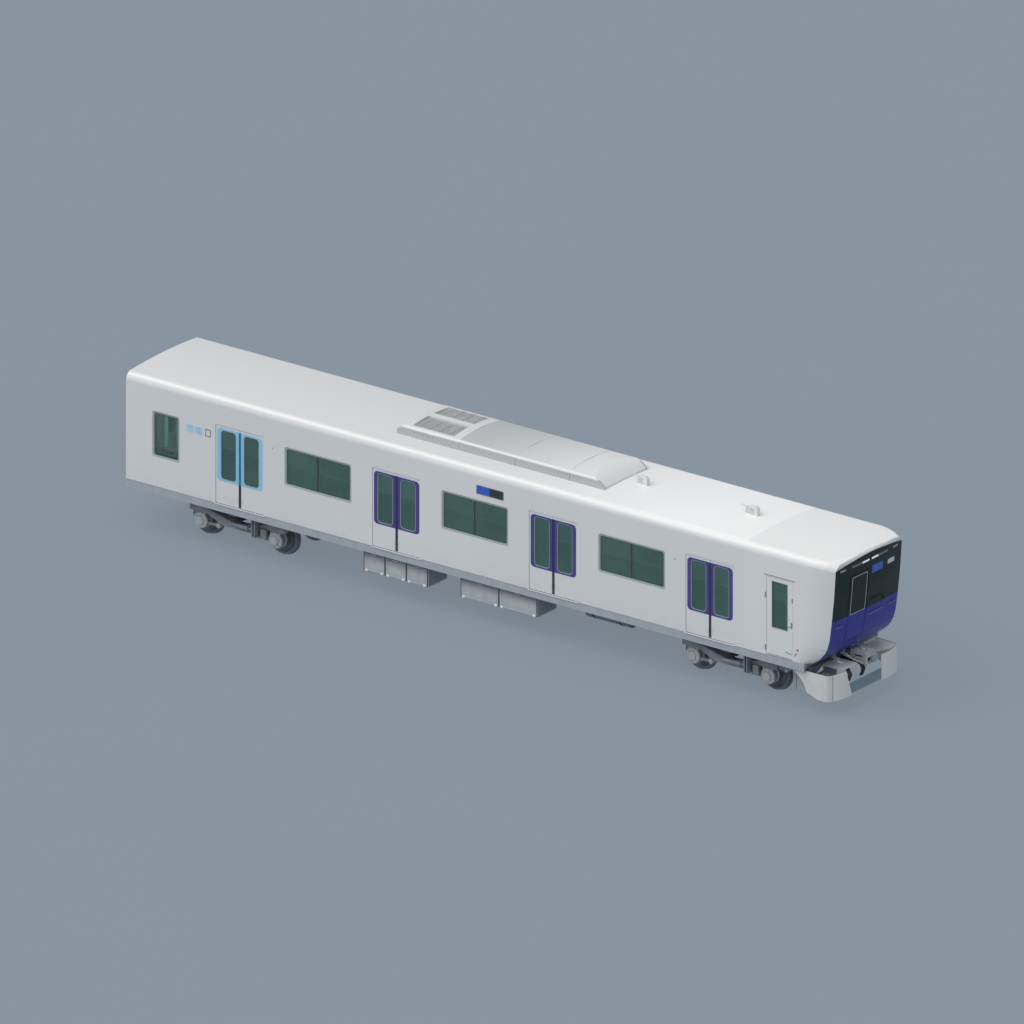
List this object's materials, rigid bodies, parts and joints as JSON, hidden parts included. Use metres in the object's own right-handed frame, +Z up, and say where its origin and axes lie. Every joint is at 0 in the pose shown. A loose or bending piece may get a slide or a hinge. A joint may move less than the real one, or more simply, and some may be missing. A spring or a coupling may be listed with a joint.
{
  "type": "metro car",
  "caption": "Single-ended metro cab car: hollow body with sliding doors, opening cab and end doors, roof air conditioner and two turning bogies with free wheelsets.",
  "frame": {"origin": "on the floor under the middle of the car, at the lowest point of the wheel flanges", "axes": "+X along the car towards the cab, +Z up, +Y to the left"},
  "size_m": [20.14, 2.82, 4.072],
  "materials": {
    "body_white": "satin",
    "roof_white": "satin",
    "underframe_grey": "satin",
    "skirt_grey": "satin",
    "mask_blue": "gloss",
    "screen_black": "gloss",
    "window_frame": "satin",
    "glass_green": "gloss",
    "door_paint": "satin",
    "door_band": "gloss",
    "rubber": "matt",
    "bogie_grey": "satin",
    "wheel_steel": "machined",
    "coupler_steel": "satin",
    "lamp_lens": "polished",
    "interior_panel": "matt",
    "seat_fabric": "woven",
    "pole_steel": "brushed"
  },
  "bodies": {
    "car_body": {"underframe": "underframe_grey", "roof": "roof_white", "side_wall_left": "body_white", "side_wall_right": "body_white", "window_frames_left": "window_frame", "window_frames_right": "window_frame", "side_glass_left": "glass_green", "side_glass_right": "glass_green", "rear_end_wall": "body_white", "gangway_bellows": "rubber", "cab_shell": "body_white", "front_mask": "mask_blue", "windscreen": "screen_black", "front_lamps": "lamp_lens", "air_conditioner": "roof_white", "air_conditioner_louvres": "underframe_grey", "roof_antennas": "roof_white", "equipment_boxes": "skirt_grey", "air_tank": "skirt_grey", "front_skirt": "skirt_grey", "front_coupler": "coupler_steel", "rear_coupler": "coupler_steel", "cab_bulkhead": "interior_panel", "cab_desk": "interior_panel", "saloon_seats": "seat_fabric", "saloon_poles": "pole_steel"},
    "left_doors_front": {"door_leaves_left_front": "door_paint", "door_glass_left_front": "door_band"},
    "left_doors_rear": {"door_leaves_left_rear": "door_paint", "door_glass_left_rear": "door_band"},
    "cab_door_left": {"cab_door_left": "body_white", "cab_door_glass_left": "glass_green"},
    "right_doors_front": {"door_leaves_right_front": "door_paint", "door_glass_right_front": "door_band"},
    "right_doors_rear": {"door_leaves_right_rear": "door_paint", "door_glass_right_rear": "door_band"},
    "cab_door_right": {"cab_door_right": "body_white", "cab_door_glass_right": "glass_green"},
    "front_exit_door": {"front_exit_door": "screen_black"},
    "rear_end_door": {"rear_end_door": "body_white", "rear_end_door_glass": "glass_green"},
    "rear_bogie": {"rear_bogie_frame": "bogie_grey", "rear_bogie_axle_boxes": "bogie_grey", "rear_bogie_air_springs": "rubber", "rear_bogie_motors": "bogie_grey"},
    "rear_bogie_rear_wheelset": {"rear_bogie_rear_wheelset": "wheel_steel"},
    "rear_bogie_front_wheelset": {"rear_bogie_front_wheelset": "wheel_steel"},
    "front_bogie": {"front_bogie_frame": "bogie_grey", "front_bogie_axle_boxes": "bogie_grey", "front_bogie_air_springs": "rubber", "front_bogie_motors": "bogie_grey"},
    "front_bogie_rear_wheelset": {"front_bogie_rear_wheelset": "wheel_steel"},
    "front_bogie_front_wheelset": {"front_bogie_front_wheelset": "wheel_steel"}
  },
  "joints": [
    {"name": "left_doors_front_slide", "type": "slide", "parent": "car_body", "child": "left_doors_front", "axis": [1, 0, 0], "range_m": [0, 0.555]},
    {"name": "left_doors_rear_slide", "type": "slide", "parent": "car_body", "child": "left_doors_rear", "axis": [1, 0, 0], "range_m": [-0.555, 0]},
    {"name": "cab_door_left_hinge", "type": "hinge", "parent": "car_body", "child": "cab_door_left", "pos_m": [8.133, 1.345, 2.15], "axis": [0, 0, -1], "range_deg": [0, 90]},
    {"name": "right_doors_front_slide", "type": "slide", "parent": "car_body", "child": "right_doors_front", "axis": [1, 0, 0], "range_m": [0, 0.555]},
    {"name": "right_doors_rear_slide", "type": "slide", "parent": "car_body", "child": "right_doors_rear", "axis": [1, 0, 0], "range_m": [-0.555, 0]},
    {"name": "cab_door_right_hinge", "type": "hinge", "parent": "car_body", "child": "cab_door_right", "pos_m": [8.133, -1.345, 2.15], "axis": [0, 0, 1], "range_deg": [0, 90]},
    {"name": "front_exit_door_hinge", "type": "hinge", "parent": "car_body", "child": "front_exit_door", "pos_m": [9.79, -0.693, 1.654], "axis": [-0.1291, 0, -0.9916], "range_deg": [0, 95]},
    {"name": "rear_end_door_slide", "type": "slide", "parent": "car_body", "child": "rear_end_door", "axis": [0, 1, 0], "range_m": [0, 0.8]},
    {"name": "rear_bogie_yaw", "type": "hinge", "parent": "car_body", "child": "rear_bogie", "pos_m": [-7.06, 0, 0.8], "axis": [0, 0, 1], "range_deg": [-5, 5]},
    {"name": "rear_bogie_rear_wheelset_axle", "type": "hinge", "parent": "rear_bogie", "child": "rear_bogie_rear_wheelset", "pos_m": [-8.11, 0, 0.435], "axis": [0, 1, 0], "continuous": true},
    {"name": "rear_bogie_front_wheelset_axle", "type": "hinge", "parent": "rear_bogie", "child": "rear_bogie_front_wheelset", "pos_m": [-6.01, 0, 0.435], "axis": [0, 1, 0], "continuous": true},
    {"name": "front_bogie_yaw", "type": "hinge", "parent": "car_body", "child": "front_bogie", "pos_m": [6.737, 0, 0.8], "axis": [0, 0, 1], "range_deg": [-5, 5]},
    {"name": "front_bogie_rear_wheelset_axle", "type": "hinge", "parent": "front_bogie", "child": "front_bogie_rear_wheelset", "pos_m": [5.687, 0, 0.435], "axis": [0, 1, 0], "continuous": true},
    {"name": "front_bogie_front_wheelset_axle", "type": "hinge", "parent": "front_bogie", "child": "front_bogie_front_wheelset", "pos_m": [7.787, 0, 0.435], "axis": [0, 1, 0], "continuous": true}
  ],
  "couplings": [
    {"joint": "left_doors_rear_slide", "follows": "left_doors_front_slide", "ratio": -1},
    {"joint": "right_doors_rear_slide", "follows": "right_doors_front_slide", "ratio": -1}
  ]
}
